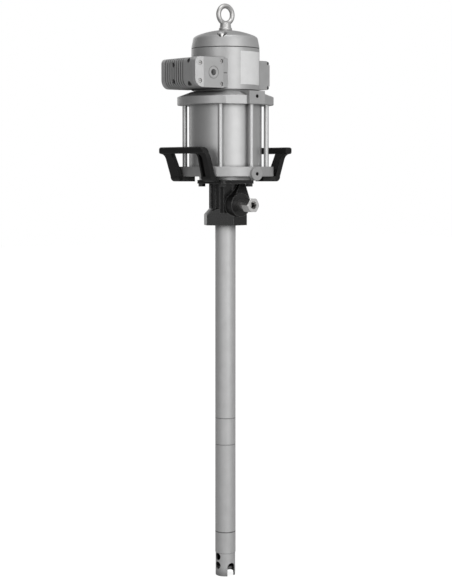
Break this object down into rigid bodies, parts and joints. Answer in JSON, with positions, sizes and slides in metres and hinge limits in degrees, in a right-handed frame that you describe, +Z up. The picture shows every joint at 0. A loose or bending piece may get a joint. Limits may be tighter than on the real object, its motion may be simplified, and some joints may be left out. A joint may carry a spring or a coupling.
{
  "type": "pneumatic grease pump",
  "caption": "Tall air-driven grease pump: domed air motor with tie rods, valve block, exhaust box, lifting eye and handles, black outlet body, and a long slotted suction tube.",
  "frame": {"origin": "on the suction tube's axis, at the underside of the outlet body where the tube leaves it", "axes": "+Z up along the tube axis to the lifting eye, -Y to the grease outlet, -X to the valve block"},
  "size_m": [0.274, 0.2405, 1.399],
  "materials": {
    "cast_aluminium": "matte",
    "machined_aluminium": "satin",
    "tube_steel": "satin",
    "ground_steel": "polished",
    "zinc_steel": "satin",
    "black_steel": "satin",
    "black_paint": "semi-gloss",
    "seal_rubber": "matte",
    "bush_bronze": "satin",
    "packing_ptfe": "matte",
    "silencer_foam": "matte"
  },
  "bodies": {
    "pump_frame": {"lifting_eye": "zinc_steel", "top_cap": "cast_aluminium", "cap_screws": "black_steel", "cap_gasket": "seal_rubber", "head_casting": "cast_aluminium", "head_screws": "black_steel", "valve_body": "cast_aluminium", "valve_gasket": "seal_rubber", "valve_sleeve": "bush_bronze", "front_valve_cover": "machined_aluminium", "rear_valve_cover": "machined_aluminium", "valve_cover_screws": "zinc_steel", "valve_mount_screws": "black_steel", "exhaust_box": "cast_aluminium", "silencer_element": "silencer_foam", "exhaust_screws": "black_steel", "upper_flange": "machined_aluminium", "barrel": "machined_aluminium", "barrel_seals": "seal_rubber", "lower_flange": "machined_aluminium", "tie_rods": "zinc_steel", "tie_rod_nuts": "zinc_steel", "rod_bush": "bush_bronze", "rod_seal": "seal_rubber", "upper_bumper": "seal_rubber", "lower_bumper": "seal_rubber", "upper_pilot_spring": "ground_steel", "lower_pilot_spring": "ground_steel", "left_handle": "black_paint", "right_handle": "black_paint", "handle_screws": "black_steel", "outlet_body": "black_paint", "body_bolts": "zinc_steel", "rod_packing": "packing_ptfe", "packing_gland": "bush_bronze", "outlet_fitting": "zinc_steel", "riser_tube": "tube_steel", "tube_coupling": "tube_steel", "pump_cylinder": "tube_steel", "foot_valve_body": "tube_steel", "inlet_foot": "tube_steel"},
    "drive": {"air_piston": "machined_aluminium", "air_piston_seals": "seal_rubber", "piston_nut": "zinc_steel", "piston_rod": "ground_steel", "rod_coupling": "zinc_steel", "pump_rod": "ground_steel", "pump_piston": "ground_steel", "pump_piston_seals": "packing_ptfe", "priming_rod": "ground_steel", "priming_plate": "tube_steel", "plate_nut": "zinc_steel"},
    "spool": {"valve_spool": "ground_steel", "spool_seals": "seal_rubber"},
    "foot_check": {"foot_check": "tube_steel"},
    "ball": {"piston_ball": "ground_steel"},
    "upper_pilot": {"upper_pilot_pin": "ground_steel"},
    "lower_pilot": {"lower_pilot_pin": "ground_steel"}
  },
  "joints": [
    {"name": "drive_stroke", "type": "slide", "parent": "pump_frame", "child": "drive", "axis": [0, 0, 1], "range_m": [-0.011, 0.069]},
    {"name": "ball_lift", "type": "slide", "parent": "drive", "child": "ball", "axis": [0, 0, 1], "range_m": [0, 0.004]},
    {"name": "foot_check_lift", "type": "slide", "parent": "pump_frame", "child": "foot_check", "axis": [0, 0, 1], "range_m": [0, 0.008]},
    {"name": "spool_shift", "type": "slide", "parent": "pump_frame", "child": "spool", "axis": [0, 1, 0], "range_m": [0, 0.014]},
    {"name": "upper_pilot_push", "type": "slide", "parent": "pump_frame", "child": "upper_pilot", "axis": [0, 0, 1], "range_m": [0, 0.005], "stiffness_N_per_m": 800, "springref_m": -0.004, "deforming": ["upper_pilot_spring"]},
    {"name": "lower_pilot_push", "type": "slide", "parent": "pump_frame", "child": "lower_pilot", "axis": [0, 0, -1], "range_m": [0, 0.005], "stiffness_N_per_m": 800, "springref_m": -0.004, "deforming": ["lower_pilot_spring"]}
  ]
}
